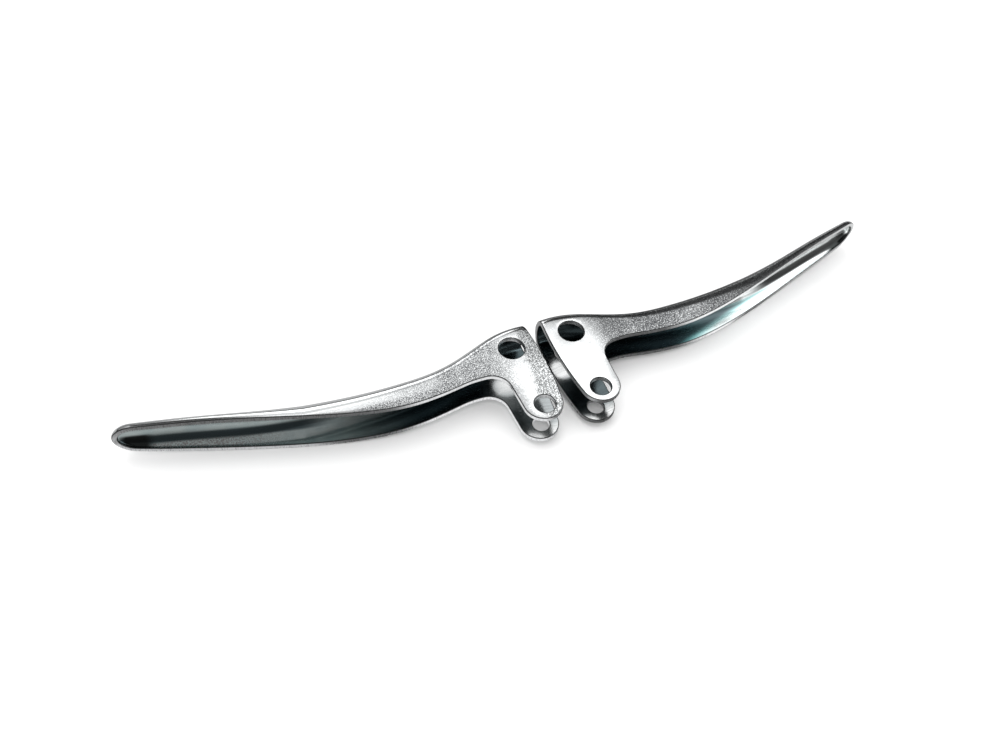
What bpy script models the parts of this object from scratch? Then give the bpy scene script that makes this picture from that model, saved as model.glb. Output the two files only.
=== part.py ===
"""A pair of pressed-steel handlebar levers, clutch and front brake, lying flat.

Each lever is one folded sheet: a half-round back, an upper and a lower flange that grow into
clevis ears round the pivot, and a blade that flattens into a gutter with a closed, spoon-like tip.
The two levers are mirror images about the plane X = 0. They lie with the pivot axes upright,
the open side of the channel towards -Y and the rounded back towards +Y.

Metres, +Z up, the resting surface is Z = 0.
"""
import math

import bmesh
import bpy
from mathutils import Matrix, Vector

MM = 0.001

# Driving dimensions, in millimetres
SHEET = 2.0                      # sheet thickness
PIVOT_BORE_UPPER = 8.0           # upper ear hole, takes the screw's shoulder
PIVOT_BORE_LOWER = 6.4           # lower ear hole, takes the M6 thread end
NIPPLE_BORE = 10.0               # cross hole for the cable's barrel nipple, through both flanges
NIPPLE_AT = (5.4, 27.3)          # its centre from the pivot axis, in the lever's own frame

EAR_CENTRE = (0.5, 0.9)          # centre of the ear's round end
EAR_RADIUS = 7.6
NECK_RADIUS = 7.5                # concave fillet between ear and blade
NECK_CENTRE = (17.4, 8.5)

ROOT_FOOT = (-7.1, 1.5)          # root edge: a shallow arc from the ear's round end ...
ROOT_WAIST = (-6.2, 17.0)        # ... through this point ...
ROOT_HEEL = (-2.0, 38.5)         # ... to the back of the channel

# Blade in plan: distance from the pivot along the blade, its rounded back, its flange edge
STATIONS = (
    (-14.0, 40.1, 14.0),
    (0.0, 40.3, 16.4),
    (10.0, 37.9, 17.0),
    (20.0, 32.8, 16.1),
    (32.0, 26.8, 12.6),
    (48.0, 22.5, 8.7),
    (64.0, 20.1, 7.9),
    (84.0, 18.8, 9.5),
    (104.0, 19.1, 12.3),
    (124.0, 20.9, 15.2),
    (146.0, 22.8, 18.2),
    (156.0, 23.6, 19.8),
)
EAR_HALF_HEIGHT = 7.5            # the ears are flat and parallel, 15 mm over the outside
GRIP_HALF_HEIGHT = 10.0          # the blade widens to 20 mm where the fingers lie ...
GRIP_AT = 98.0                   # ... this far from the pivot
FLARE_START = 20.0               # the flanges start to spread here
TIP_NARROWING = 2.5              # half height lost between the grip and the closing tip
BEND_AT_PIVOT = 5.2              # depth of the half-round back at the pivot ...
BEND_GROWTH = 0.036              # ... and how much deeper it gets per millimetre along the blade
TIP_START = 145.5                # where the blade starts to close
TIP_END = 153.2                  # outermost point of the closed tip
TIP_BACK = 20.0                  # where the outermost point lies, across the blade

HALF_SPACING = 11.6              # pivot axis to the mirror plane
SPLAY = math.radians(9.0)        # each blade swings this much towards +Y
ROW_SHIFT = -19.55               # moves the pair so that the origin is under its middle

BEND_STEPS = 16                  # facets round the half-round back
BLADE_STEPS = 54                 # sections from root to tip start
TIP_STEPS = 8                    # sections in the closed tip
FRONT = -12.0                    # flanges are drawn out to here, then trimmed to the outline
PAST_BACK = 48.0                 # the outline stays open past the back of the lever
RIM_PITCH = 3.0                  # spacing of the outline's points along the flange edge
ARC_STEPS = 12                   # facets in a quarter turn of the outline
BORE_STEPS = 48                  # facets round a hole

ZINC = (0.62, 0.64, 0.65, 1.0)


def natural_spline(knots, values):
    """Return a function: the natural cubic spline through the given points."""
    count = len(knots)
    gaps = [knots[i + 1] - knots[i] for i in range(count - 1)]
    slopes = [(values[i + 1] - values[i]) / gaps[i] for i in range(count - 1)]
    bends = [0.0] * count
    diagonal = [1.0] * count
    right = [0.0] * count
    for i in range(1, count - 1):
        diagonal[i] = 2.0 * (gaps[i - 1] + gaps[i])
        right[i] = 6.0 * (slopes[i] - slopes[i - 1])
    for i in range(2, count - 1):
        factor = gaps[i - 1] / diagonal[i - 1]
        diagonal[i] -= factor * gaps[i - 1]
        right[i] -= factor * right[i - 1]
    for i in range(count - 2, 0, -1):
        bends[i] = (right[i] - gaps[i] * bends[i + 1]) / diagonal[i]

    def evaluate(x):
        i = 0
        while i < count - 2 and x > knots[i + 1]:
            i += 1
        before = (knots[i + 1] - x) / gaps[i]
        after = (x - knots[i]) / gaps[i]
        curve = (before ** 3 - before) * bends[i] + (after ** 3 - after) * bends[i + 1]
        return before * values[i] + after * values[i + 1] + curve * gaps[i] ** 2 / 6.0

    return evaluate


ALONG = [row[0] for row in STATIONS]
back_line = natural_spline(ALONG, [row[1] for row in STATIONS])
rim_line = natural_spline(ALONG, [row[2] for row in STATIONS])


def half_height(x):
    """Half the outside height: flat ears, a smooth flare to the grip, then narrower again."""
    if x <= FLARE_START:
        return EAR_HALF_HEIGHT
    if x <= GRIP_AT:
        share = (x - FLARE_START) / (GRIP_AT - FLARE_START)
        spread = share * share * (3.0 - 2.0 * share)
        return EAR_HALF_HEIGHT + (GRIP_HALF_HEIGHT - EAR_HALF_HEIGHT) * spread
    past = (x - GRIP_AT) / (TIP_START - GRIP_AT)
    return GRIP_HALF_HEIGHT - TIP_NARROWING * past * past


def bend_depth(x):
    """Depth of the half-round back: set by the bend, or by the gutter where that is shallower."""
    by_bend = BEND_AT_PIVOT + BEND_GROWTH * max(x, 0.0)
    by_gutter = back_line(x) - rim_line(x)
    blend = 0.5
    return 0.5 * (by_bend + by_gutter - math.hypot(by_bend - by_gutter, blend))


def station_positions(inset):
    """Section places along the blade; in the tip they crowd together as it closes."""
    start = ALONG[0]
    places = [start + (TIP_START - start) * i / BLADE_STEPS for i in range(BLADE_STEPS)]
    closing = TIP_END - inset - TIP_START
    for i in range(TIP_STEPS + 1):
        turn = 0.5 * math.pi * i / TIP_STEPS
        places.append((TIP_START + closing * math.sin(turn), math.cos(turn)))
    return [p if isinstance(p, tuple) else (p, 1.0) for p in places]


def section(x, openness, inset):
    """One cross-section as (y, z) points from the lower flange round the back to the upper."""
    step = 0.01
    slope = (back_line(x + step) - back_line(x - step)) / (2.0 * step)
    back = back_line(x) - inset * math.sqrt(1.0 + slope * slope)
    back = TIP_BACK + (back - TIP_BACK) * openness if x >= TIP_START else back
    height = (half_height(x) - inset) * openness
    depth = (bend_depth(x) - inset) * max(openness, 0.05)
    points = [(FRONT, -height)]
    for i in range(BEND_STEPS + 1):
        turn = math.pi * i / BEND_STEPS
        points.append((back - depth * (1.0 - math.sin(turn)), -height * math.cos(turn)))
    points.append((FRONT, height))
    return points


def add_skin(bm, inset):
    """Add the outer (inset 0) or inner skin of the folded sheet; return its rows of vertices."""
    rows = []
    for x, openness in station_positions(inset):
        rows.append([bm.verts.new((x, y, z)) for y, z in section(x, openness, inset)])
    return rows


def bridge(bm, first, second):
    """Close the strip between two rows of vertices with quads."""
    for i in range(len(first) - 1):
        bm.faces.new((first[i], first[i + 1], second[i + 1], second[i]))


def new_object(name, bm):
    """Turn a bmesh into an object with faces turned outwards."""
    bmesh.ops.remove_doubles(bm, verts=bm.verts, dist=0.0001)
    bmesh.ops.recalc_face_normals(bm, faces=bm.faces)
    bmesh.ops.scale(bm, vec=Vector((MM, MM, MM)), verts=bm.verts)
    mesh = bpy.data.meshes.new(name)
    bm.to_mesh(mesh)
    bm.free()
    obj = bpy.data.objects.new(name, mesh)
    bpy.context.scene.collection.objects.link(obj)
    return obj


def folded_sheet(name):
    """The untrimmed channel with its closed tip, one closed solid of sheet thickness."""
    bm = bmesh.new()
    outer = add_skin(bm, 0.0)
    inner = add_skin(bm, SHEET)
    for rows in (outer, inner):
        for i in range(len(rows) - 1):
            bridge(bm, rows[i], rows[i + 1])
    bridge(bm, outer[0], inner[0])
    bridge(bm, [row[0] for row in outer], [row[0] for row in inner])
    bridge(bm, [row[-1] for row in outer], [row[-1] for row in inner])
    return new_object(name, bm)


def arc_points(centre, radius, start, end):
    """Points on an arc, angles in radians, both ends included."""
    steps = max(2, round(abs(end - start) / (0.5 * math.pi) * ARC_STEPS))
    angles = [start + (end - start) * i / steps for i in range(steps + 1)]
    return [(centre[0] + radius * math.cos(a), centre[1] + radius * math.sin(a)) for a in angles]


def circle_through(a, b, c):
    """Centre and radius of the circle through three points."""
    scale = 2.0 * (a[0] * (b[1] - c[1]) + b[0] * (c[1] - a[1]) + c[0] * (a[1] - b[1]))
    sums = [p[0] ** 2 + p[1] ** 2 for p in (a, b, c)]
    x = (sums[0] * (b[1] - c[1]) + sums[1] * (c[1] - a[1]) + sums[2] * (a[1] - b[1])) / scale
    y = (sums[0] * (c[0] - b[0]) + sums[1] * (a[0] - c[0]) + sums[2] * (b[0] - a[0])) / scale
    return (x, y), math.dist((x, y), a)


def neck_lean():
    """Direction of the straight neck edge, tangent to the round ear and to the neck fillet."""
    across = NECK_CENTRE[0] - EAR_CENTRE[0]
    along = NECK_CENTRE[1] - EAR_CENTRE[1]
    opening = math.asin((EAR_RADIUS + NECK_RADIUS) / math.hypot(across, along))
    return math.atan2(along, across) + opening


def outline():
    """Plan view of the blank: root edge, round ear, neck fillet, flange edge; open past the back."""
    points = [(ALONG[-1], PAST_BACK), (ROOT_HEEL[0], PAST_BACK)]
    centre, radius = circle_through(ROOT_HEEL, ROOT_WAIST, ROOT_FOOT)
    start = math.atan2(ROOT_HEEL[1] - centre[1], ROOT_HEEL[0] - centre[0])
    end = math.atan2(ROOT_FOOT[1] - centre[1], ROOT_FOOT[0] - centre[0])
    points += arc_points(centre, radius, start, end)
    square_off = neck_lean() - 0.5 * math.pi
    root_side = math.radians(178.0)
    blade_side = math.radians(86.0)
    points += arc_points(EAR_CENTRE, EAR_RADIUS, root_side, square_off + 2.0 * math.pi)
    points += arc_points(NECK_CENTRE, NECK_RADIUS, square_off + math.pi, blade_side)
    start = points[-1][0] + RIM_PITCH
    steps = round((ALONG[-1] - start) / RIM_PITCH)
    for i in range(steps + 1):
        x = start + (ALONG[-1] - start) * i / steps
        points.append((x, rim_line(x)))
    return points


def prism(name, points, low, high):
    """A closed outline extruded along Z, in millimetres."""
    bm = bmesh.new()
    floor = [bm.verts.new((x, y, low)) for x, y in points]
    face = bm.faces.new(floor)
    lifted = bmesh.ops.extrude_face_region(bm, geom=[face])
    moved = [item for item in lifted["geom"] if isinstance(item, bmesh.types.BMVert)]
    bmesh.ops.translate(bm, verts=moved, vec=Vector((0.0, 0.0, high - low)))
    return new_object(name, bm)


def bore(name, centre, diameter, low, high):
    """A round cutter along Z."""
    count = BORE_STEPS
    turns = [2.0 * math.pi * (i + 0.5) / count for i in range(count)]
    radius = 0.5 * diameter
    points = [(centre[0] + radius * math.cos(a), centre[1] + radius * math.sin(a)) for a in turns]
    return prism(name, points, low, high)


def cut(target, tool, operation):
    """Apply one exact Boolean to the target's mesh and drop the tool."""
    modifier = target.modifiers.new(tool.name, "BOOLEAN")
    modifier.operation = operation
    modifier.solver = "EXACT"
    modifier.object = tool
    evaluated = target.evaluated_get(bpy.context.evaluated_depsgraph_get())
    mesh = bpy.data.meshes.new_from_object(evaluated)
    target.modifiers.remove(modifier)
    target.data = mesh
    bpy.data.objects.remove(tool)


def lever_mesh():
    """One finished lever in its own frame: pivot axis at the origin, tip towards +X."""
    reach = 15.0
    lever = folded_sheet("lever")
    cut(lever, prism("outline", outline(), -reach, reach), "INTERSECT")
    cut(lever, bore("upper_pivot_bore", (0.0, 0.0), PIVOT_BORE_UPPER, 0.0, reach), "DIFFERENCE")
    cut(lever, bore("lower_pivot_bore", (0.0, 0.0), PIVOT_BORE_LOWER, -reach, 0.0), "DIFFERENCE")
    cut(lever, bore("nipple_bore", NIPPLE_AT, NIPPLE_BORE, -reach, reach), "DIFFERENCE")
    mesh = lever.data
    bpy.data.objects.remove(lever)
    return mesh


def zinc_plate(name, tone):
    """Bright zinc-plated steel."""
    material = bpy.data.materials.new(name)
    material.use_nodes = True
    shader = material.node_tree.nodes["Principled BSDF"]
    shader.inputs["Base Color"].default_value = tone
    shader.inputs["Metallic"].default_value = 1.0
    shader.inputs["Roughness"].default_value = 0.32
    material.diffuse_color = tone
    return material


def add_lever(name, mesh, side, material):
    """Place one lever; side is +1 for the right-hand lever and -1 for its mirror image."""
    data = mesh.copy()
    data.name = name
    if side < 0:
        data.transform(Matrix.Scale(-1.0, 4, Vector((1.0, 0.0, 0.0))))
        data.flip_normals()
    data.materials.clear()
    data.materials.append(material)
    data.shade_smooth()
    data.set_sharp_from_angle(angle=math.radians(35.0))
    obj = bpy.data.objects.new(name, data)
    obj.location = Vector((side * HALF_SPACING, ROW_SHIFT, GRIP_HALF_HEIGHT)) * MM
    obj.rotation_euler = (0.0, 0.0, side * SPLAY)
    bpy.context.scene.collection.objects.link(obj)
    return obj


def main():
    for obj in list(bpy.data.objects):
        bpy.data.objects.remove(obj)
    mesh = lever_mesh()
    add_lever("clutch_lever", mesh, -1, zinc_plate("zinc_plate_clutch", ZINC))
    add_lever("brake_lever", mesh, 1, zinc_plate("zinc_plate_brake", ZINC))


main()
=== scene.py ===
import math

import bmesh
import bpy
from mathutils import Matrix, Vector
from mathutils.geometry import delaunay_2d_cdt


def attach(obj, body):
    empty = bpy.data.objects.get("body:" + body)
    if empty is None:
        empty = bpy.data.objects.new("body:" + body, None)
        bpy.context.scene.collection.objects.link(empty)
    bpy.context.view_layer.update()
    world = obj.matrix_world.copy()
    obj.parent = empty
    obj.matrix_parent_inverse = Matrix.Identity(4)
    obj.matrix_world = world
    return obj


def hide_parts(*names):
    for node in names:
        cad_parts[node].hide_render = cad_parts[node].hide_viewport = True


# Looks of a pair of pressed-steel hand levers, bright zinc plated, lying on a white table.
# Each lever is one sheet, rebuilt here as a fine mesh with rounded edges on the CAD's dimensions.
# Lengths are millimetres until a mesh or an object is placed, but places on the table and the
# lamp's size and distance are metres.

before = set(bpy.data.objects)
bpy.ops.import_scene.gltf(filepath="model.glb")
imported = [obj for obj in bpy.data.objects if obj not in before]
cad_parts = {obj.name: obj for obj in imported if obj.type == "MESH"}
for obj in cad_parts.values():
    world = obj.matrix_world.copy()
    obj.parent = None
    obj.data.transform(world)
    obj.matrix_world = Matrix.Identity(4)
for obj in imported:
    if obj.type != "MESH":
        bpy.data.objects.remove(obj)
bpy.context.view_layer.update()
MM = 0.001

# The CAD's driving dimensions, in one lever's own frame: pivot axis at the origin, tip towards +X.
# Most were read off a lever outline that another program fitted to the photo, then rounded.
SHEET = 2.0
PIVOT_BORE_UPPER = 8.0
PIVOT_BORE_LOWER = 6.4
NIPPLE_BORE = 10.0
NIPPLE_AT = (5.4, 27.3)
EAR_CENTRE = (0.5, 0.9)
EAR_RADIUS = 7.6
NECK_RADIUS = 7.5
NECK_CENTRE = (17.4, 8.5)
ROOT_FOOT = (-7.1, 1.5)
ROOT_WAIST = (-6.2, 17.0)
ROOT_HEEL = (-2.0, 38.5)
# Along the blade from the pivot, its rounded back, its flange edge. The backs from 0 to 124 and
# the edges from 48 to 124 lie within 0.1 mm of the fitted curves, from which they were read.
STATIONS = (
    (-14.0, 40.1, 14.0),
    (0.0, 40.3, 16.4),
    (10.0, 37.9, 17.0),
    (20.0, 32.8, 16.1),
    (32.0, 26.8, 12.6),
    (48.0, 22.5, 8.7),
    (64.0, 20.1, 7.9),
    (84.0, 18.8, 9.5),
    (104.0, 19.1, 12.3),
    (124.0, 20.9, 15.2),
    (146.0, 22.8, 18.2),
    (156.0, 23.6, 19.8),
)
EAR_HALF_HEIGHT = 7.5
GRIP_HALF_HEIGHT = 10.0
GRIP_AT = 98.0
FLARE_START = 20.0
TIP_NARROWING = 2.5
BEND_AT_PIVOT = 5.2
BEND_GROWTH = 0.036
TIP_START = 145.5
TIP_END = 153.2
TIP_BACK = 20.0
HALF_SPACING = 11.6
SPLAY = math.radians(9.0)
ROW_SHIFT = -19.55
FILLET_END = math.radians(86.0)    # bearing of the neck fillet's end, seen from its centre
EAR_ROUND_END = math.radians(178.0)    # bearing of the foot of the root edge, from the ear's centre

# Fineness of the visible mesh
EDGE_ROUND = 0.35        # radius rolled onto every sheared edge
EDGE_STEPS = 3           # facets in each rolled edge
RIM_FLAT = 0.7           # straight sheet left between the bend and the flange edge, at least
FAIR_END = 26.0          # the neck fillet runs out into the flange edge here
BEND_STEPS = 36          # rows round the half-round back
FLANGE_STEPS = 3         # rows across a flange
SETTLING_ROUNDS = 12     # rounds that put the first row onto the curved root edge
ROOT_SECTIONS = 26       # sections from the root edge to the start of the flare
BLADE_SECTIONS = 126     # sections from there to the closing tip
TIP_SECTIONS = 22        # sections in the closed tip
OUTLINE_PITCH = 0.5      # spacing of the points along the ear's outline
BORE_STEPS = 64          # facets round a hole
MERGE = 0.002            # points closer than this are one point

OUTER, INNER, EDGE = range(3)   # material slots of a lever


# ---------------------------------------------------------------- the lever's form

def natural_spline(knots, values):
    """Return a function: the natural cubic spline through the given points."""
    count = len(knots)
    gaps = [knots[i + 1] - knots[i] for i in range(count - 1)]
    slopes = [(values[i + 1] - values[i]) / gaps[i] for i in range(count - 1)]
    bends = [0.0] * count
    diagonal = [1.0] * count
    right = [0.0] * count
    for i in range(1, count - 1):
        diagonal[i] = 2.0 * (gaps[i - 1] + gaps[i])
        right[i] = 6.0 * (slopes[i] - slopes[i - 1])
    for i in range(2, count - 1):
        factor = gaps[i - 1] / diagonal[i - 1]
        diagonal[i] -= factor * gaps[i - 1]
        right[i] -= factor * right[i - 1]
    for i in range(count - 2, 0, -1):
        bends[i] = (right[i] - gaps[i] * bends[i + 1]) / diagonal[i]

    def evaluate(x):
        i = 0
        while i < count - 2 and x > knots[i + 1]:
            i += 1
        before = (knots[i + 1] - x) / gaps[i]
        after = (x - knots[i]) / gaps[i]
        curve = (before ** 3 - before) * bends[i] + (after ** 3 - after) * bends[i + 1]
        return before * values[i] + after * values[i + 1] + curve * gaps[i] ** 2 / 6.0

    return evaluate


ALONG = [row[0] for row in STATIONS]
back_line = natural_spline(ALONG, [row[1] for row in STATIONS])
rim_line = natural_spline(ALONG, [row[2] for row in STATIONS])


def slope_of(curve, x):
    """Slope of a function, by central difference."""
    step = 0.01
    return (curve(x + step) - curve(x - step)) / (2.0 * step)


def half_height(x):
    """Half the outside height: flat ears, a smooth flare to the grip, then narrower again."""
    if x <= FLARE_START:
        return EAR_HALF_HEIGHT
    if x <= GRIP_AT:
        share = (x - FLARE_START) / (GRIP_AT - FLARE_START)
        spread = share * share * (3.0 - 2.0 * share)
        return EAR_HALF_HEIGHT + (GRIP_HALF_HEIGHT - EAR_HALF_HEIGHT) * spread
    past = (x - GRIP_AT) / (TIP_START - GRIP_AT)
    return GRIP_HALF_HEIGHT - TIP_NARROWING * past * past


def front_edge(x):
    """Flange edge in plan, from the neck fillet's end on: a short fairing, then the rim line."""
    start_x = NECK_CENTRE[0] + NECK_RADIUS * math.cos(FILLET_END)
    start_y = NECK_CENTRE[1] + NECK_RADIUS * math.sin(FILLET_END)
    if x >= FAIR_END:
        return rim_line(x)
    span = FAIR_END - start_x
    t = (x - start_x) / span
    leave = -span / math.tan(FILLET_END)
    arrive = span * slope_of(rim_line, FAIR_END)
    ends = (2 * t ** 3 - 3 * t ** 2 + 1) * start_y + (3 * t ** 2 - 2 * t ** 3) * rim_line(FAIR_END)
    return ends + (t ** 3 - 2 * t ** 2 + t) * leave + (t ** 3 - t ** 2) * arrive


def circle_through(a, b, c):
    """Centre and radius of the circle through three points."""
    scale = 2.0 * (a[0] * (b[1] - c[1]) + b[0] * (c[1] - a[1]) + c[0] * (a[1] - b[1]))
    sums = [p[0] ** 2 + p[1] ** 2 for p in (a, b, c)]
    x = (sums[0] * (b[1] - c[1]) + sums[1] * (c[1] - a[1]) + sums[2] * (a[1] - b[1])) / scale
    y = (sums[0] * (c[0] - b[0]) + sums[1] * (a[0] - c[0]) + sums[2] * (b[0] - a[0])) / scale
    return (x, y), math.dist((x, y), a)


ROOT_CENTRE, ROOT_RADIUS = circle_through(ROOT_HEEL, ROOT_WAIST, ROOT_FOOT)


def root_edge(y):
    """Root edge in plan: a shallow arc up to the heel, which eases out square to the back."""
    at = min(y, ROOT_HEEL[1]) - ROOT_CENTRE[1]
    run = math.sqrt(ROOT_RADIUS ** 2 - at ** 2)
    x = ROOT_CENTRE[0] - run
    past = max(0.0, y - ROOT_HEEL[1])
    ease = 2.5
    return x + at / run * past * (1.0 - 0.5 * past / ease)


def root_outward(y):
    """Unit vector out of the root edge, in plan."""
    return Vector((-1.0, slope_of(root_edge, y), 0.0)).normalized()


def skin_at(x, openness, inset):
    """Back line, half height and bend depth of one skin of the sheet at a section."""
    slope = slope_of(back_line, x)
    back = back_line(x) - inset * math.sqrt(1.0 + slope * slope)
    if x >= TIP_START:
        back = TIP_BACK + (back - TIP_BACK) * openness
    by_bend = BEND_AT_PIVOT + BEND_GROWTH * max(x, 0.0)
    by_gutter = back_line(x) - rim_line(x)
    blend = 0.5
    depth = 0.5 * (by_bend + by_gutter - math.hypot(by_bend - by_gutter, blend))
    depth = min(depth, by_gutter - RIM_FLAT) - inset
    return back, (half_height(x) - inset) * openness, depth * max(openness, 0.05)


def bend_point(x, turn, openness, inset):
    """A point on the half-round back; turn runs from 0 at the lower flange to pi at the upper."""
    back, height, depth = skin_at(x, openness, inset)
    return Vector((x, back - depth * (1.0 - math.sin(turn)), -height * math.cos(turn)))


TURNS = [math.pi * i / BEND_STEPS for i in range(BEND_STEPS + 1)]


def blade_row(x, openness, inset):
    """One section of the blade's skin, from the lower flange edge round the back to the upper."""
    bend = [bend_point(x, turn, openness, inset) for turn in TURNS]
    front = front_edge(x) + EDGE_ROUND
    flange = []
    for i in range(FLANGE_STEPS):
        y = front + (bend[0].y - front) * i / FLANGE_STEPS
        flange.append(Vector((x, y, bend[0].z)))
    upper = [Vector((p.x, p.y, -p.z)) for p in reversed(flange)]
    return flange + bend + upper


def root_rows(inset):
    """The half-round back between the root edge and the start of the flare."""
    starts = []
    for turn in TURNS:
        x = ROOT_HEEL[0]
        for _ in range(SETTLING_ROUNDS):
            y = bend_point(x, turn, 1.0, inset).y
            lean = slope_of(root_edge, y)
            x = root_edge(y) + EDGE_ROUND * math.sqrt(1.0 + lean * lean)
        starts.append(x)
    rows = []
    for i in range(ROOT_SECTIONS):
        share = i / ROOT_SECTIONS
        places = [start + (FLARE_START - start) * share for start in starts]
        rows.append([bend_point(x, turn, 1.0, inset) for x, turn in zip(places, TURNS)])
    return rows


def blade_rows(inset):
    """The blade from the start of the flare through the closed tip."""
    span = TIP_START - FLARE_START
    places = [(FLARE_START + span * i / BLADE_SECTIONS, 1.0) for i in range(BLADE_SECTIONS)]
    closing = TIP_END - inset - TIP_START
    for i in range(TIP_SECTIONS + 1):
        turn = 0.5 * math.pi * i / TIP_SECTIONS
        places.append((TIP_START + closing * math.sin(turn), max(math.cos(turn), 0.0)))
    return [blade_row(x, openness, inset) for x, openness in places]


def ear_outline():
    """Sheared edge of the flat ears, from blade to root: (inset point, point on the edge)."""
    across = NECK_CENTRE[0] - EAR_CENTRE[0]
    along = NECK_CENTRE[1] - EAR_CENTRE[1]
    lean = math.asin((EAR_RADIUS + NECK_RADIUS) / math.hypot(across, along))
    square_off = math.atan2(along, across) + lean - 0.5 * math.pi
    pairs = []

    def on_arc(centre, radius, side, start, end):
        steps = math.ceil(abs(end - start) * radius / OUTLINE_PITCH)
        for i in range(steps + 1):
            angle = start + (end - start) * i / steps
            way = Vector((math.cos(angle), math.sin(angle)))
            at = Vector(centre)
            pairs.append((at + way * (radius + side * EDGE_ROUND), at + way * radius))

    start_x = NECK_CENTRE[0] + NECK_RADIUS * math.cos(FILLET_END)
    steps = math.ceil((FLARE_START - start_x) / OUTLINE_PITCH)
    for i in range(steps):
        x = FLARE_START + (start_x - FLARE_START) * i / steps
        edge = Vector((x, front_edge(x)))
        pairs.append((edge + Vector((0.0, EDGE_ROUND)), edge))
    on_arc(NECK_CENTRE, NECK_RADIUS, 1.0, FILLET_END, square_off + math.pi)
    on_arc(EAR_CENTRE, EAR_RADIUS, -1.0, square_off, EAR_ROUND_END - 2.0 * math.pi)
    return pairs


def root_outline(from_y, to_y):
    """The straight-sided part of the root edge, as (inset point, point on the edge)."""
    pairs = []
    steps = math.ceil((to_y - from_y) / OUTLINE_PITCH)
    for i in range(1, steps):
        y = from_y + (to_y - from_y) * i / steps
        edge = Vector((root_edge(y), y))
        pairs.append((edge - root_outward(y).to_2d() * EDGE_ROUND, edge))
    return pairs


def ring(centre, radius):
    """Points round a hole."""
    turns = [2.0 * math.pi * i / BORE_STEPS for i in range(BORE_STEPS)]
    return [Vector(centre) + Vector((math.cos(a), math.sin(a))) * radius for a in turns]


# ---------------------------------------------------------------- the lever's mesh

class Sheet:
    """Collects one lever's faces: two skins and the rolled, sheared edge that joins them."""

    def __init__(self):
        self.bm = bmesh.new()
        # how far through the sheet an edge's point lies: 0 at the outer skin, 1 at the inner
        self.through = self.bm.verts.layers.float.new("through_sheet")

    def points(self, row):
        return [self.bm.verts.new(p) for p in row]

    def face(self, corners, slot):
        corners = [v for i, v in enumerate(corners) if v is not corners[i - 1]]
        if len(corners) > 2:
            self.bm.faces.new(corners).material_index = slot

    def bridge(self, first, second, slot):
        for i in range(len(first) - 1):
            self.face((first[i], first[i + 1], second[i + 1], second[i]), slot)

    def panel(self, border, holes, height, slot):
        """A flat panel inside border (vertices) with round holes; returns the holes' vertices."""
        rims = [self.points([Vector((p.x, p.y, height)) for p in hole]) for hole in holes]
        corners = list(border)
        loops = [list(range(len(border)))]
        for rim in rims:
            loops.append(list(range(len(corners), len(corners) + len(rim))))
            corners += rim
        sides = []
        for loop in loops:
            sides += [(loop[i - 1], loop[i]) for i in range(len(loop))]
        plan = [v.co.to_2d() for v in corners]
        inside_border = 1
        found = delaunay_2d_cdt(plan, sides, [], inside_border, 1e-6)
        places, triangles, origins = found[0], found[2], found[3]
        middles = [sum(hole, Vector((0.0, 0.0))) / len(hole) for hole in holes]
        for triangle in triangles:
            at = sum((places[i] for i in triangle), Vector((0.0, 0.0))) / len(triangle)
            if all((at - m).length > (hole[0] - m).length for m, hole in zip(middles, holes)):
                self.face([corners[origins[i][0]] for i in triangle], slot)
        return rims

    def edge(self, outer, inner, outward, closed=False):
        """Join the skins' borders by the sheet's edge: a rolled corner, a wall, a rolled corner."""
        strips = []
        for top, bottom, out in zip(outer, inner, outward):
            through = (bottom.co - top.co).normalized()
            strip = [top]
            lap = [0.5 * math.pi * i / EDGE_STEPS for i in range(1, EDGE_STEPS + 1)]
            for turn in lap:
                sink = through * EDGE_ROUND * (1.0 - math.cos(turn))
                reach = out * EDGE_ROUND * math.sin(turn)
                strip.append(self.bm.verts.new(top.co + sink + reach))
            for turn in reversed(lap):
                sink = through * EDGE_ROUND * (1.0 - math.cos(turn))
                reach = out * EDGE_ROUND * math.sin(turn)
                strip.append(self.bm.verts.new(bottom.co - sink + reach))
            strip.append(bottom)
            for i, vertex in enumerate(strip):
                vertex[self.through] = i / (len(strip) - 1)
            strips.append(strip)
        if closed:
            strips.append(strips[0])
        for first, second in zip(strips, strips[1:]):
            self.bridge(first, second, EDGE)


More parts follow.
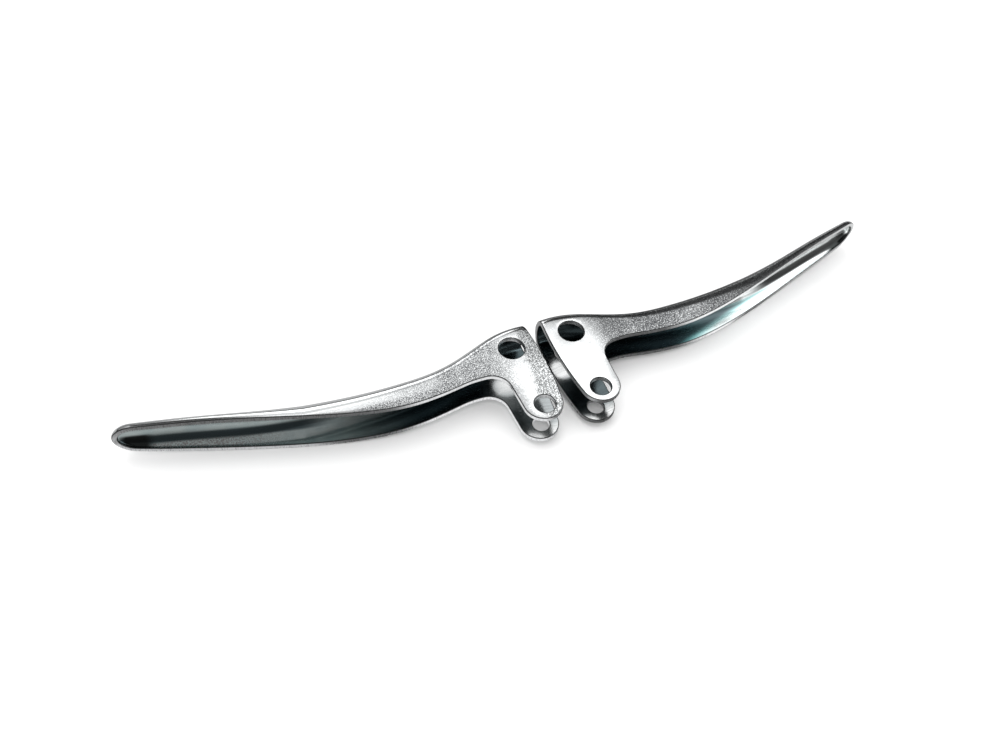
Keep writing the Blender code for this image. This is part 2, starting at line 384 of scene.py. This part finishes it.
def lever_mesh():
    """One lever in its own frame as a bmesh, in millimetres."""
    sheet = Sheet()
    skins = []
    for inset, slot in ((0.0, OUTER), (SHEET, INNER)):
        blade = [sheet.points(row) for row in blade_rows(inset)]
        root = [sheet.points(row) for row in root_rows(inset)]
        root.append(blade[0][FLANGE_STEPS:-FLANGE_STEPS])
        for rows in (root, blade):
            for first, second in zip(rows, rows[1:]):
                sheet.bridge(first, second, slot)
        skins.append((blade, root, slot))

    ear = ear_outline()
    foot = EAR_CENTRE[1] + EAR_RADIUS * math.sin(EAR_ROUND_END)
    ears = []
    for side, bore in ((0, PIVOT_BORE_LOWER), (-1, PIVOT_BORE_UPPER)):
        holes = ((Vector((0.0, 0.0)), 0.5 * bore), (Vector(NIPPLE_AT), 0.5 * NIPPLE_BORE))
        top = skins[0][1][0][side].co.y
        outline = ear + root_outline(foot, top)
        borders, rims = [], []
        for blade, root, slot in skins:
            height = root[0][side].co.z
            flange = blade[0][:FLANGE_STEPS] if side == 0 else blade[0][:-FLANGE_STEPS - 1:-1]
            seam = [row[side] for row in root]
            plan = [Vector((p.x, p.y, height)) for p, _ in outline[1:]]
            border = [flange[0]] + sheet.points(plan)
            rounds = [ring(c, r + EDGE_ROUND) for c, r in holes]
            rims.append(sheet.panel(border + seam + flange[:0:-1], rounds, height, slot))
            borders.append(border)
        outward = [(edge - inset).normalized().to_3d() for inset, edge in outline]
        ears.append((borders, outward))
        for k, (centre, radius) in enumerate(holes):
            inwards = [(centre - p).normalized().to_3d() for p in ring(centre, radius)]
            sheet.edge(rims[0][k], rims[1][k], inwards, closed=True)

    outer_blade, inner_blade = skins[0][0], skins[1][0]
    outward = [Vector((0.0, -1.0, 0.0))] * len(outer_blade)
    for side in (0, -1):
        sheet.edge([r[side] for r in outer_blade], [r[side] for r in inner_blade], outward)
    for borders, outward in ears:
        sheet.edge(borders[0], borders[1], outward)
    root_ends = [skin[1][0] for skin in skins]
    outward = [root_outward(v.co.y) for v in root_ends[0]]
    sheet.edge(root_ends[0], root_ends[1], outward)
    for k, side in ((0, 0), (1, -1)):
        borders, leave = ears[k]
        pairs = [borders[0][-1], root_ends[0][side]], [borders[1][-1], root_ends[1][side]]
        sheet.edge(pairs[0], pairs[1], [leave[-1], outward[side]])
    bmesh.ops.remove_doubles(sheet.bm, verts=sheet.bm.verts, dist=MERGE)
    bmesh.ops.recalc_face_normals(sheet.bm, faces=sheet.bm.faces)
    return sheet.bm


def add_lever(name, side, body, node, materials):
    """Place one lever; side is +1 for the right-hand lever and -1 for its mirror image."""
    bm = lever_mesh()
    if side < 0:
        bmesh.ops.scale(bm, vec=Vector((-1.0, 1.0, 1.0)), verts=bm.verts)
        bmesh.ops.reverse_faces(bm, faces=bm.faces)
    place = Matrix.Translation(Vector((side * HALF_SPACING, ROW_SHIFT, GRIP_HALF_HEIGHT)))
    place = Matrix.Scale(MM, 4) @ place @ Matrix.Rotation(side * SPLAY, 4, "Z")
    bmesh.ops.transform(bm, matrix=place, verts=bm.verts)
    mesh = bpy.data.meshes.new(name)
    bm.to_mesh(mesh)
    bm.free()
    for material in materials:
        mesh.materials.append(material)
    mesh.shade_smooth()
    piece = bpy.data.objects.new(name, mesh)
    bpy.context.scene.collection.objects.link(piece)
    soften = piece.modifiers.new("face_weighted_normals", "WEIGHTED_NORMAL")
    soften.mode = "FACE_AREA"
    soften.weight = 50
    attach(piece, body)
    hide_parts(node)
    return piece


# ---------------------------------------------------------------- materials

NOISE_TILT = (0.6, 0.4, 0.0)   # keeps the noise's cells from lying parallel to the flat ears


class Nodes:
    """Shorthand for building one node tree."""

    def __init__(self, owner):
        owner.use_nodes = True
        self.tree = owner.node_tree

    def add(self, kind, **settings):
        node = self.tree.nodes.new(kind)
        for name, value in settings.items():
            setattr(node, name, value)
        return node

    def feed(self, socket, value):
        """Link an output to a socket, or set the socket to a plain value."""
        if isinstance(value, bpy.types.NodeSocket):
            self.tree.links.new(value, socket)
        else:
            socket.default_value = value

    def math(self, operation, *values):
        node = self.add("ShaderNodeMath", operation=operation)
        for socket, value in zip(node.inputs, values):
            self.feed(socket, value)
        return node.outputs[0]

    def ramp(self, value, start, end, low=0.0, high=1.0):
        """Smooth step of a value: low at start, high at end."""
        node = self.add("ShaderNodeMapRange", interpolation_type="SMOOTHSTEP")
        for socket, item in zip(node.inputs, (value, start, end, low, high)):
            self.feed(socket, item)
        return node.outputs[0]

    def blend(self, share, first, second):
        """Mix two numbers: first at share 0, second at share 1."""
        node = self.add("ShaderNodeMix", data_type="FLOAT")
        self.feed(node.inputs[0], share)
        self.feed(node.inputs[2], first)
        self.feed(node.inputs[3], second)
        return node.outputs[0]

    def tint(self, share, first, second):
        """Mix two colours: first at share 0, second at share 1."""
        node = self.add("ShaderNodeMix", data_type="RGBA")
        self.feed(node.inputs[0], share)
        self.feed(node.inputs[6], first)
        self.feed(node.inputs[7], second)
        return node.outputs[2]

    def axes(self, vector):
        node = self.add("ShaderNodeSeparateXYZ")
        self.feed(node.inputs[0], vector)
        return node.outputs

    def noise(self, place, pitch, detail=2.0, stretch=(1.0, 1.0, 1.0)):
        """Noise whose lumps are about pitch millimetres apart, drawn out by stretch."""
        squeeze = self.add("ShaderNodeMapping")
        self.feed(squeeze.inputs["Vector"], place)
        squeeze.inputs["Scale"].default_value = [1.0 / (pitch * s) for s in stretch]
        squeeze.inputs["Rotation"].default_value = NOISE_TILT
        node = self.add("ShaderNodeTexNoise")
        self.feed(node.inputs["Vector"], squeeze.outputs[0])
        node.inputs["Scale"].default_value = 1.0
        node.inputs["Detail"].default_value = detail
        return node.outputs["Fac"]

    def lever_millimetres(self, side):
        """Place on the lever as drawn: millimetres from the pivot's line, x towards the tip."""
        local = self.add("ShaderNodeMapping", vector_type="TEXTURE")
        self.feed(local.inputs["Vector"], self.add("ShaderNodeTexCoord").outputs["Object"])
        pivot = Vector((side * HALF_SPACING, ROW_SHIFT, GRIP_HALF_HEIGHT)) * MM
        local.inputs["Location"].default_value = pivot
        local.inputs["Rotation"].default_value = (0.0, 0.0, side * SPLAY)
        local.inputs["Scale"].default_value = (side * MM, MM, MM)
        return local.outputs[0]


# Tones of the outside
BRIGHT_ZINC = (0.68, 0.695, 0.70, 1.0)
DULL_ZINC = (0.12, 0.125, 0.13, 1.0)       # the pits of the sandy grain on the blade
EAR_GRIT = (0.26, 0.265, 0.27, 1.0)        # the same on the ears
ROOT_EDGE_GRAIN = (0.12, 0.125, 0.125, 1.0)     # dark grain along the clutch lever's root edge
CUT_STEEL = (0.70, 0.72, 0.73, 1.0)        # scratches

# Tones of the channel
CHANNEL_ZINC = (0.54, 0.605, 0.60, 1.0)
CHANNEL_SHADE = (0.46, 0.54, 0.545, 1.0)
# the next two are painted reflections in the brake lever's channel: a white highlight and a teal
# tone
CHANNEL_PAINTED_HIGHLIGHT = (0.86, 0.9, 0.9, 1.0)
TEAL_PAINTED_REFLECTION = (0.42, 0.66, 0.66, 1.0)
NEUTRAL_CHANNEL = (0.60, 0.61, 0.61, 1.0)
CHANNEL_GRIT = (0.36, 0.34, 0.34, 1.0)
# painted shade deep in the channel and between the ears
PAINTED_CHANNEL_DARK = (0.09, 0.12, 0.13, 1.0)
# painted shade in the pocket of the tip
TIP_PAINTED_SHADE = (0.03, 0.033, 0.033, 1.0)

# Tones of the sheared edge
# painted shade on both rolled corners of the edge
CORNER_PAINTED_SHADE = (0.05, 0.052, 0.052, 1.0)
# the edge is lighter on the clutch lever than on the brake lever: painted highlight and shade
SHEARED_STEEL = {-1: (0.85, 0.86, 0.87, 1.0), 1: (0.62, 0.63, 0.635, 1.0)}

# Where each lever's finish changes, in its own millimetres; -1 is the clutch lever, 1 the brake
# lever. A pair of places is where a change starts and where it is complete. The two levers share
# one finish, so where their numbers differ, part of the difference in tone is painted shade and
# painted highlight.
EAR_SAND = {-1: 0.25, 1: 0.03}                # share of sand on the ears; the blade has 1
SAND_START = {-1: (3.0, 14.0), 1: (7.0, 20.0)}    # along the lever
FLAT_FROM = {-1: (0.75, 0.97), 1: (0.4, 0.75)}    # how level the skin is where the bend ends
BEND_SAND = {-1: (2.0, 0.4), 1: (0.1, 0.1)}   # share of sand on the bend: by the ears, by the blade; the clutch lever's dark flecks by the ears are partly painted shade
FLECKS = {-1: (0.38, 0.56), 1: (0.31, 0.5)}   # grain noise that turns into dark flecks
CHANNEL_SAND = {-1: 1.0, 1: 0.1}              # share of sand on the channel's lower flange
DEEP_END = {-1: (74.0, 42.0), 1: (78.0, 54.0)}    # along the lever, where the painted dark zone ends, from the far end inwards
DEEP_SLANT = {-1: 0.0, 1: 7.5}                # how far that end runs out per millimetre across
BELT = {-1: 0.55, 1: 0.95}                    # strength of the belt of painted shade between the ears
WALL_SHADE = {-1: PAINTED_CHANNEL_DARK, 1: (0.045, 0.047, 0.047, 1.0)}
WALL_FOOT = {-1: (-6.0, -4.9), 1: (-6.5, -5.4)}   # height of the lower border of the painted dark reflection on the wall
WALL_START = {-1: (72.0, 88.0), 1: (82.0, 102.0)}    # along the lever

GRAIN_RELIEF = 0.012     # depth of the sandy grain outside
CHANNEL_RELIEF = 0.003   # depth of the drawing lines and the grit inside
SHEAR_RELIEF = 0.006     # depth of the shear lines on the edge


def metal(name):
    """An empty metal: its node helper and its shader."""
    material = bpy.data.materials.new(name)
    nodes = Nodes(material)
    shader = nodes.tree.nodes["Principled BSDF"]
    shader.inputs["Metallic"].default_value = 1.0
    return material, nodes, shader


def relief(nodes, shader, height, depth):
    """Bump of the given depth in millimetres."""
    bump = nodes.add("ShaderNodeBump")
    bump.inputs["Distance"].default_value = depth * MM
    bump.inputs["Strength"].default_value = 1.0
    nodes.feed(bump.inputs["Height"], height)
    nodes.feed(shader.inputs["Normal"], bump.outputs[0])


def outer_finish(name, side):
    """Tumbled steel under bright zinc: sandy grain, flecks, fine scratches and a cloudy sheen."""
    material, nodes, shader = metal(name)
    place = nodes.lever_millimetres(side)
    along, across, _ = nodes.axes(place)
    cloud = nodes.noise(place, 12.0, 2.0)
    patch = nodes.noise(place, 2.6, 3.0)
    grain = nodes.noise(place, 0.33, 1.0)
    scratch = nodes.noise(place, 0.25, 1.0, (26.0, 1.0, 1.0))
    scratch = nodes.math("MULTIPLY", nodes.ramp(scratch, 0.68, 0.76), nodes.ramp(patch, 0.5, 0.62))
    flat = nodes.axes(nodes.add("ShaderNodeNewGeometry").outputs["Normal"])[2]
    # more dark flecks on the clutch lever's bend by the ears: partly painted shade
    on_bend = nodes.ramp(along, 10.0, 16.0, *BEND_SAND[side])
    flat = nodes.ramp(nodes.math("ABSOLUTE", flat), *FLAT_FROM[side], on_bend, 1.0)
    sand = nodes.ramp(along, *SAND_START[side], EAR_SAND[side], 1.0)
    sand = nodes.math("MULTIPLY", sand, flat)
    sand = nodes.math("MULTIPLY", sand, nodes.ramp(cloud, 0.3, 0.6, 0.8, 1.0))
    if side < 0:
        # the half of this lever's blade next to the bend has fewer dark flecks and is smoother; the
        # lighter tone there is a painted highlight
        smooth_highlight = nodes.ramp(nodes.math("MULTIPLY_ADD", along, 0.15, across), 18.3, 21.0)
        smooth_highlight = nodes.math("MULTIPLY", smooth_highlight, nodes.ramp(along, 30.0, 42.0))
        sand_kept = nodes.ramp(along, 48.0, 66.0, 0.5, 0.15)
        sand = nodes.math("MULTIPLY", sand, nodes.ramp(smooth_highlight, 0.0, 1.0, 1.0, sand_kept))
    fleck = nodes.math("MULTIPLY", nodes.ramp(grain, *FLECKS[side]), sand)
    grit = nodes.tint(nodes.ramp(along, 6.0, 16.0), EAR_GRIT, DULL_ZINC)
    tone = nodes.tint(fleck, BRIGHT_ZINC, grit)
    if side < 0:
        # dark grain along this lever's root edge
        root_band = nodes.math("ADD", along, nodes.math("MULTIPLY", patch, 5.0))
        root_band = nodes.math("MULTIPLY", nodes.ramp(root_band, 5.0, 2.4), nodes.ramp(grain, 0.38, 0.54))
        tone = nodes.tint(root_band, tone, ROOT_EDGE_GRAIN)
    nodes.feed(shader.inputs["Base Color"], nodes.tint(scratch, tone, CUT_STEEL))
    rough = nodes.math("MULTIPLY_ADD", fleck, 0.16, nodes.ramp(cloud, 0.3, 0.7, 0.09, 0.13))
    nodes.feed(shader.inputs["Roughness"], rough)
    height = nodes.math("MULTIPLY", grain, sand)
    height = nodes.math("SUBTRACT", height, nodes.math("MULTIPLY", scratch, 0.4))
    relief(nodes, shader, height, GRAIN_RELIEF)
    return material


def inner_finish(name, side):
    """Inside the channel: smooth, glossy, teal passivated zinc with faint drawing lines.

    The dark and clear zones stand for the channel's own shade and reflections.
    """
    material, nodes, shader = metal(name)
    place = nodes.lever_millimetres(side)
    along, across, height = nodes.axes(place)
    cloud = nodes.noise(place, 7.0, 3.0)
    lines = nodes.noise(place, 0.5, 2.0, (30.0, 1.0, 1.0))
    grain = nodes.noise(place, 0.5, 2.0)
    sand = nodes.math("MULTIPLY", nodes.ramp(along, 80.0, 125.0), nodes.ramp(grain, 0.42, 0.6))
    sand = nodes.math("MULTIPLY", sand, nodes.ramp(height, -3.5, -6.0, 0.0, CHANNEL_SAND[side]))
    tone = nodes.tint(nodes.ramp(cloud, 0.35, 0.65), CHANNEL_ZINC, CHANNEL_SHADE)
    # place along the lever, slanted across the lower flange
    inward = nodes.math("SUBTRACT", nodes.math("MINIMUM", across, 15.0), 11.0)
    inward = nodes.math("MULTIPLY", inward, nodes.ramp(height, -5.2, -6.6))
    slanted = nodes.math("SUBTRACT", along, nodes.math("MULTIPLY", inward, DEEP_SLANT[side]))
    # on the brake lever, a painted teal reflection that turns into a painted white highlight
    # towards the tip
    if side > 0:
        clear = nodes.tint(nodes.ramp(slanted, 64.0, 84.0), TEAL_PAINTED_REFLECTION, CHANNEL_PAINTED_HIGHLIGHT)
        tone = nodes.tint(nodes.ramp(slanted, 52.0, 62.0), tone, clear)
    by_ears = nodes.ramp(along, 30.0, 16.0)
    tone = nodes.tint(by_ears, tone, NEUTRAL_CHANNEL)
    tone = nodes.tint(sand, tone, CHANNEL_GRIT)
    # painted shade deep inside, and a belt of painted shade between the ears
    deep = nodes.math("MAXIMUM", nodes.ramp(along, 8.0, 20.0), nodes.ramp(across, 24.0, 30.0))
    deep = nodes.math("MULTIPLY", deep, nodes.ramp(slanted, *DEEP_END[side]))
    belt = nodes.math("MULTIPLY", nodes.ramp(across, 19.0, 14.0), nodes.ramp(across, -4.5, 1.5))
    belt = nodes.math("MULTIPLY", nodes.math("MULTIPLY", belt, by_ears), BELT[side])
    deep = nodes.math("MAXIMUM", deep, belt)
    # painted dark reflection along the lower half of the far wall, and painted shade in a pocket of
    # the tip
    foot = nodes.ramp(height, *WALL_FOOT[side])
    wall = nodes.math("MULTIPLY", nodes.ramp(height, -1.2, -2.6), foot)
    wall = nodes.math("MULTIPLY", wall, nodes.ramp(along, *WALL_START[side]))
    pocket = nodes.ramp(along, 138.0, 142.5)
    pocket = nodes.math("MULTIPLY", pocket, nodes.ramp(along, 151.0, 148.5))
    pocket = nodes.math("MULTIPLY", pocket, nodes.ramp(height, -0.4, -1.8))
    tone = nodes.tint(deep, tone, PAINTED_CHANNEL_DARK)
    tone = nodes.tint(wall, tone, WALL_SHADE[side])
    nodes.feed(shader.inputs["Base Color"], nodes.tint(pocket, tone, TIP_PAINTED_SHADE))
    rough = nodes.math("MULTIPLY_ADD", sand, 0.2, nodes.ramp(lines, 0.3, 0.7, 0.07, 0.12))
    deep_matt = nodes.math("MULTIPLY", deep, 0.16)
    ear_matt = nodes.math("MULTIPLY", by_ears, 0.1)
    blade_matt = nodes.math("MULTIPLY", nodes.ramp(along, 52.0, 66.0), 0.09)
    rough = nodes.math("ADD", rough, nodes.math("MAXIMUM", deep_matt, ear_matt))
    rough = nodes.math("ADD", rough, blade_matt)
    nodes.feed(shader.inputs["Roughness"], rough)
    lines = nodes.math("MULTIPLY", lines, nodes.ramp(by_ears, 0.0, 1.0, 0.1, 0.0))
    relief(nodes, shader, nodes.math("ADD", lines, sand), CHANNEL_RELIEF)
    return material


def edge_finish(name, side):
    """The sheared edge of the sheet: bright, with fine shear lines and two dark corner lines of
    painted shade.
    """
    material, nodes, shader = metal(name)
    place = nodes.lever_millimetres(side)
    shear = nodes.noise(place, 0.3, 2.0, (1.0, 1.0, 8.0))
    cloud = nodes.noise(place, 4.0, 2.0)
    tone = nodes.tint(nodes.ramp(shear, 0.45, 0.75, 0.0, 0.5), SHEARED_STEEL[side], DULL_ZINC)
    through = nodes.add("ShaderNodeAttribute", attribute_name="through_sheet").outputs["Fac"]
    # a thin dark line on each rolled corner is painted shade
    corner = nodes.math("MAXIMUM", nodes.ramp(through, 0.42, 0.2), nodes.ramp(through, 0.58, 0.8))
    nodes.feed(shader.inputs["Base Color"], nodes.tint(corner, tone, CORNER_PAINTED_SHADE))
    nodes.feed(shader.inputs["Roughness"], nodes.ramp(cloud, 0.3, 0.7, 0.25, 0.4))
    relief(nodes, shader, shear, SHEAR_RELIEF)
    return material


def zinc_plate(side, lever):
    """The three finishes of one lever, in the order of the mesh's material slots."""
    return [
        outer_finish(lever + "_outer_zinc", side),
        inner_finish(lever + "_channel_zinc", side),
        edge_finish(lever + "_sheared_edge", side),
    ]


TABLE_SIZE = 4.0    # metres, as are all places on the table


def add_floor():
    """A plain white table. Glossy rays see a staged one instead, with dim and bright parts."""
    bpy.ops.mesh.primitive_plane_add(size=TABLE_SIZE)
    floor = bpy.context.object
    floor.name = "table"
    material = bpy.data.materials.new("white_table")
    nodes = Nodes(material)
    shader = nodes.tree.nodes["Principled BSDF"]
    shader.inputs["Base Color"].default_value = (0.9, 0.9, 0.9, 1.0)
    shader.inputs["Roughness"].default_value = 0.9
    shader.inputs["Specular IOR Level"].default_value = 0.0
    place = nodes.add("ShaderNodeSeparateXYZ")
    nodes.feed(place.inputs[0], nodes.add("ShaderNodeNewGeometry").outputs["Position"])
    across, away = place.outputs[0], place.outputs[1]
    near = nodes.ramp(across, -0.02, 0.02, 0.62, 0.2)
    behind = nodes.math("ADD", near, nodes.ramp(across, 0.14, 0.2, 0.0, 0.7))
    by_tip = nodes.ramp(across, 0.10, 0.13, 0.0, 0.4)
    by_tip = nodes.math("MULTIPLY", by_tip, nodes.ramp(away, 0.06, 0.04))
    behind = nodes.math("ADD", behind, by_tip)
    under_ears = nodes.ramp(across, 0.005, -0.015, 0.0, 0.8)
    under_ears = nodes.math("MULTIPLY", under_ears, nodes.ramp(across, -0.065, -0.045))
    before = nodes.math("ADD", nodes.ramp(across, 0.056, 0.080, 0.15, 1.6), under_ears)
    border = nodes.ramp(across, -0.09, -0.16, -0.001, 0.0135)
    past_border = nodes.ramp(nodes.math("SUBTRACT", away, border), 0.0, 0.004)
    glow = nodes.add("ShaderNodeEmission")
    nodes.feed(glow.inputs["Strength"], nodes.blend(past_border, before, behind))
    seen = nodes.add("ShaderNodeMixShader")
    nodes.feed(seen.inputs[0], nodes.add("ShaderNodeLightPath").outputs["Is Glossy Ray"])
    nodes.feed(seen.inputs[1], shader.outputs[0])
    nodes.feed(seen.inputs[2], glow.outputs[0])
    nodes.feed(nodes.tree.nodes["Material Output"].inputs["Surface"], seen.outputs[0])
    material.cycles.emission_sampling = "NONE"
    floor.data.materials.append(material)


# ---------------------------------------------------------------- light and camera

# These six values are as another program fitted them to the photo
CAMERA_AZIMUTH = math.radians(-30.0)
CAMERA_ELEVATION = math.radians(52.37)
CAMERA_ROLL = math.radians(7.94)
CAMERA_LENS = 39.99
CAMERA_TARGET = (-19.08, 3.12, 10.0)
CAMERA_DISTANCE = 422.88


def add_camera():
    """A camera above the pair, looking down and to the right, rolled a little."""
    turn = Matrix.Rotation(CAMERA_AZIMUTH, 4, "Z")
    tilt = Matrix.Rotation(0.5 * math.pi - CAMERA_ELEVATION, 4, "X")
    roll = Matrix.Rotation(CAMERA_ROLL, 4, "Z")
    aim = turn @ tilt @ roll
    away = aim @ Vector((0.0, 0.0, CAMERA_DISTANCE))
    data = bpy.data.cameras.new("camera")
    data.lens = CAMERA_LENS
    data.sensor_width = 36.0
    camera = bpy.data.objects.new("camera", data)
    camera.matrix_world = Matrix.Translation((Vector(CAMERA_TARGET) + away) * MM) @ aim
    bpy.context.scene.collection.objects.link(camera)
    bpy.context.scene.camera = camera


def add_light(name, azimuth, elevation, distance, size, power):
    """A soft box that looks at the pair from a bearing and a height."""
    data = bpy.data.lights.new(name, "AREA")
    data.shape = "RECTANGLE"
    data.size, data.size_y = size
    data.energy = power
    lamp = bpy.data.objects.new(name, data)
    a, e = math.radians(azimuth), math.radians(elevation)
    way = Vector((math.sin(a) * math.cos(e), math.cos(a) * math.cos(e), math.sin(e)))
    lamp.location = way * distance
    lamp.rotation_euler = (-way).to_track_quat("-Z", "Y").to_euler()
    lamp.visible_glossy = False
    bpy.context.scene.collection.objects.link(lamp)


ROOM_LIGHT = 0.05   # faint light from everywhere in the metal's room
SKY_LIGHT = 1.18    # even light on the table


def soft_box(nodes, u, v, centre, half, soft):
    """1 inside a rectangle of the ceiling plane, fading to 0 across its soft border."""
    share = 1.0
    for value, middle, reach in zip((u, v), centre, half):
        off = nodes.math("ABSOLUTE", nodes.math("SUBTRACT", value, middle))
        share = nodes.math("MULTIPLY", nodes.ramp(off, reach + soft, reach - soft), share)
    return share


def add_world():
    """The studio: white to the camera, an even sky for the table, and a staged room for the metal.

    The metal's room is laid out on a ceiling plane, u to the right and v away from the camera's
    side, and by bearing and rise in degrees. Its panels were set against the brightness of the
    metal in the photo's one view.
    """
    world = bpy.data.worlds.new("studio")
    bpy.context.scene.world = world
    world.cycles.sampling_method = "NONE"
    nodes = Nodes(world)
    way = nodes.add("ShaderNodeSeparateXYZ")
    nodes.feed(way.inputs[0], nodes.add("ShaderNodeTexCoord").outputs["Generated"])
    x, y, z = way.outputs
    upward = nodes.math("MAXIMUM", z, 0.05)
    u = nodes.math("DIVIDE", x, upward)
    v = nodes.math("DIVIDE", y, upward)
    degree = math.degrees(1.0)
    bearing = nodes.math("MULTIPLY", nodes.math("ARCTAN2", x, y), degree)
    rise = nodes.math("MULTIPLY", nodes.math("ARCSINE", z), degree)

    # overhead behind: a dim panel, a lamp for the left blade and a stronger one for the ears
    panel = nodes.math("MULTIPLY", nodes.ramp(u, 0.0, 0.1, 0.1, 0.45), nodes.ramp(v, 0.95, 0.7))
    panel = nodes.math("MULTIPLY", panel, nodes.ramp(u, 0.54, 0.62, 1.0, 0.4))
    left_lamp = soft_box(nodes, u, v, (0.24, 0.725), (0.145, 0.065), 0.02)
    left_lamp = nodes.math("MULTIPLY", left_lamp, 1.3)
    ear_lamp = soft_box(nodes, u, v, (0.455, 0.45), (0.075, 0.25), 0.02)
    ear_lamp = nodes.math("MULTIPLY", ear_lamp, 1.9)
    strip = soft_box(nodes, u, v, (0.3, 1.4), (0.18, 0.65), 0.03)
    right_end = nodes.ramp(u, 0.86, 0.96, 0.0, 0.2)
    behind = nodes.math("ADD", panel, left_lamp)
    for lamp in (ear_lamp, strip, right_end):
        behind = nodes.math("ADD", behind, lamp)
    behind = nodes.math("MULTIPLY", behind, nodes.ramp(rise, 22.0, 34.0))
    # a pale wall on the left, which the upper faces mirror in views from the right
    left_wall = nodes.ramp(u, -0.2, -0.36, 0.0, 0.7)
    left_wall = nodes.math("MULTIPLY", left_wall, nodes.ramp(v, 0.2, 0.4))
    left_wall = nodes.math("MULTIPLY", left_wall, nodes.ramp(rise, 22.0, 40.0))
    behind = nodes.math("ADD", behind, left_wall)
    # before them: a broad lamp on the right, a dark gap, and a dim wall on the left
    right_lamp = nodes.ramp(bearing, 138.0, 122.0, 0.03, 2.6)
    right_lamp = nodes.math("MULTIPLY", right_lamp, nodes.ramp(bearing, 45.0, 65.0))
    dim_wall = nodes.ramp(u, 0.12, -0.06, 0.0, 0.3)
    dim_wall = nodes.math("MULTIPLY", dim_wall, nodes.ramp(bearing, 0.0, -1.0))
    before = nodes.math("ADD", right_lamp, dim_wall)
    around = nodes.blend(nodes.ramp(v, 0.3, 0.1), behind, before)
    # a window low behind, brighter towards the right; the room beyond it stays dark
    window = nodes.math("MULTIPLY", nodes.ramp(bearing, 22.0, 17.0), nodes.ramp(rise, 6.0, 11.0))
    window = nodes.math("MULTIPLY", window, nodes.ramp(rise, 36.0, 28.0))
    window = nodes.math("MULTIPLY", window, nodes.ramp(bearing, 1.0, 7.0, 0.3, 2.7))
    light = nodes.math("ADD", nodes.math("MAXIMUM", around, window), ROOM_LIGHT)

    path = nodes.add("ShaderNodeLightPath")
    light = nodes.blend(path.outputs["Is Glossy Ray"], SKY_LIGHT, light)
    light = nodes.blend(path.outputs["Is Camera Ray"], light, 1.0)
    background = nodes.tree.nodes["Background"]
    background.inputs["Color"].default_value = (1.0, 1.0, 1.0, 1.0)
    nodes.feed(background.inputs["Strength"], light)


add_camera()
for side, lever in ((-1, "clutch"), (1, "brake")):
    node = lever + "_lever"
    add_lever(node + "_shell", side, node, node, zinc_plate(side, lever))
add_floor()
add_world()
add_light("key", azimuth=-20.0, elevation=72.0, distance=1.2, size=(1.1, 0.9), power=6.0)
bpy.context.scene.view_settings.view_transform = "Standard"
